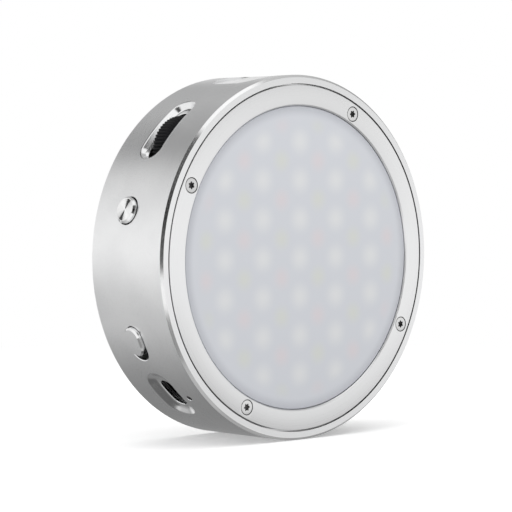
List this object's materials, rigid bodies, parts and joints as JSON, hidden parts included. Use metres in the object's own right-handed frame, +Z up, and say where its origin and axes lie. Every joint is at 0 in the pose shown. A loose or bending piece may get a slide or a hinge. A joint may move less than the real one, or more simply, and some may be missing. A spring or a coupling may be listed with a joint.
{
  "type": "pocket LED video light",
  "caption": "Round aluminium puck light with an opal LED front, scroll dial, push button, slide switch, charging socket, magnetic back and a small display.",
  "frame": {"origin": "under the middle of the puck, on the surface that its rim stands on", "axes": "+Z up, -Y the way the luminous face points, +X to the right as seen from the front; the puck's round axis is parallel to Y"},
  "size_m": [0.09, 0.0264, 0.0899],
  "materials": {
    "satin_aluminium": "satin anodised",
    "polished_aluminium": "bright turned",
    "steel": "satin",
    "opal": "opal, translucent",
    "white_plastic": "matt",
    "black_plastic": "matt",
    "foam": "foam",
    "board_green": "solder mask",
    "board_white": "solder mask",
    "cell_foil": "foil",
    "magnet_nickel": "nickel plated",
    "display_glass": "gloss"
  },
  "bodies": {
    "housing": {"body_shell": "satin_aluminium", "tripod_insert": "steel", "front_bezel": "satin_aluminium", "diffuser": "opal", "diffuser_gasket": "foam", "light_chamber": "white_plastic", "led_board": "board_white", "heat_spreader": "polished_aluminium", "main_board": "board_green", "battery_pad": "foam", "battery": "cell_foil", "usb_shell": "steel", "usb_tongue": "black_plastic", "light_pipe": "opal", "dial_encoder": "black_plastic", "push_button_switch": "black_plastic", "slide_switch": "black_plastic", "back_cover": "satin_aluminium", "display_window": "display_glass", "display_module": "black_plastic", "bezel_screw_1": "steel", "back_screw_1": "steel", "magnet_1": "magnet_nickel", "bezel_screw_2": "steel", "back_screw_2": "steel", "magnet_2": "magnet_nickel", "bezel_screw_3": "steel", "back_screw_3": "steel", "magnet_3": "magnet_nickel", "bezel_screw_4": "steel", "back_screw_4": "steel", "magnet_4": "magnet_nickel"},
    "dial": {"dial_wheel": "black_plastic", "dial_axle": "steel"},
    "button": {"push_button": "polished_aluminium"},
    "slider": {"slide_knob": "satin_aluminium"}
  },
  "joints": [
    {"name": "dial_spin", "type": "hinge", "parent": "housing", "child": "dial", "pos_m": [-0.02565, 0.0008, 0.07079], "axis": [0, -1, 0], "continuous": true},
    {"name": "button_press", "type": "slide", "parent": "housing", "child": "button", "axis": [0.9636, 0, -0.2672], "range_m": [0, 0.0005], "stiffness_N_per_m": 1000, "springref_m": -0.001},
    {"name": "switch_slide", "type": "slide", "parent": "housing", "child": "slider", "axis": [0.4446, 0, -0.8957], "range_m": [0, 0.0016]}
  ]
}
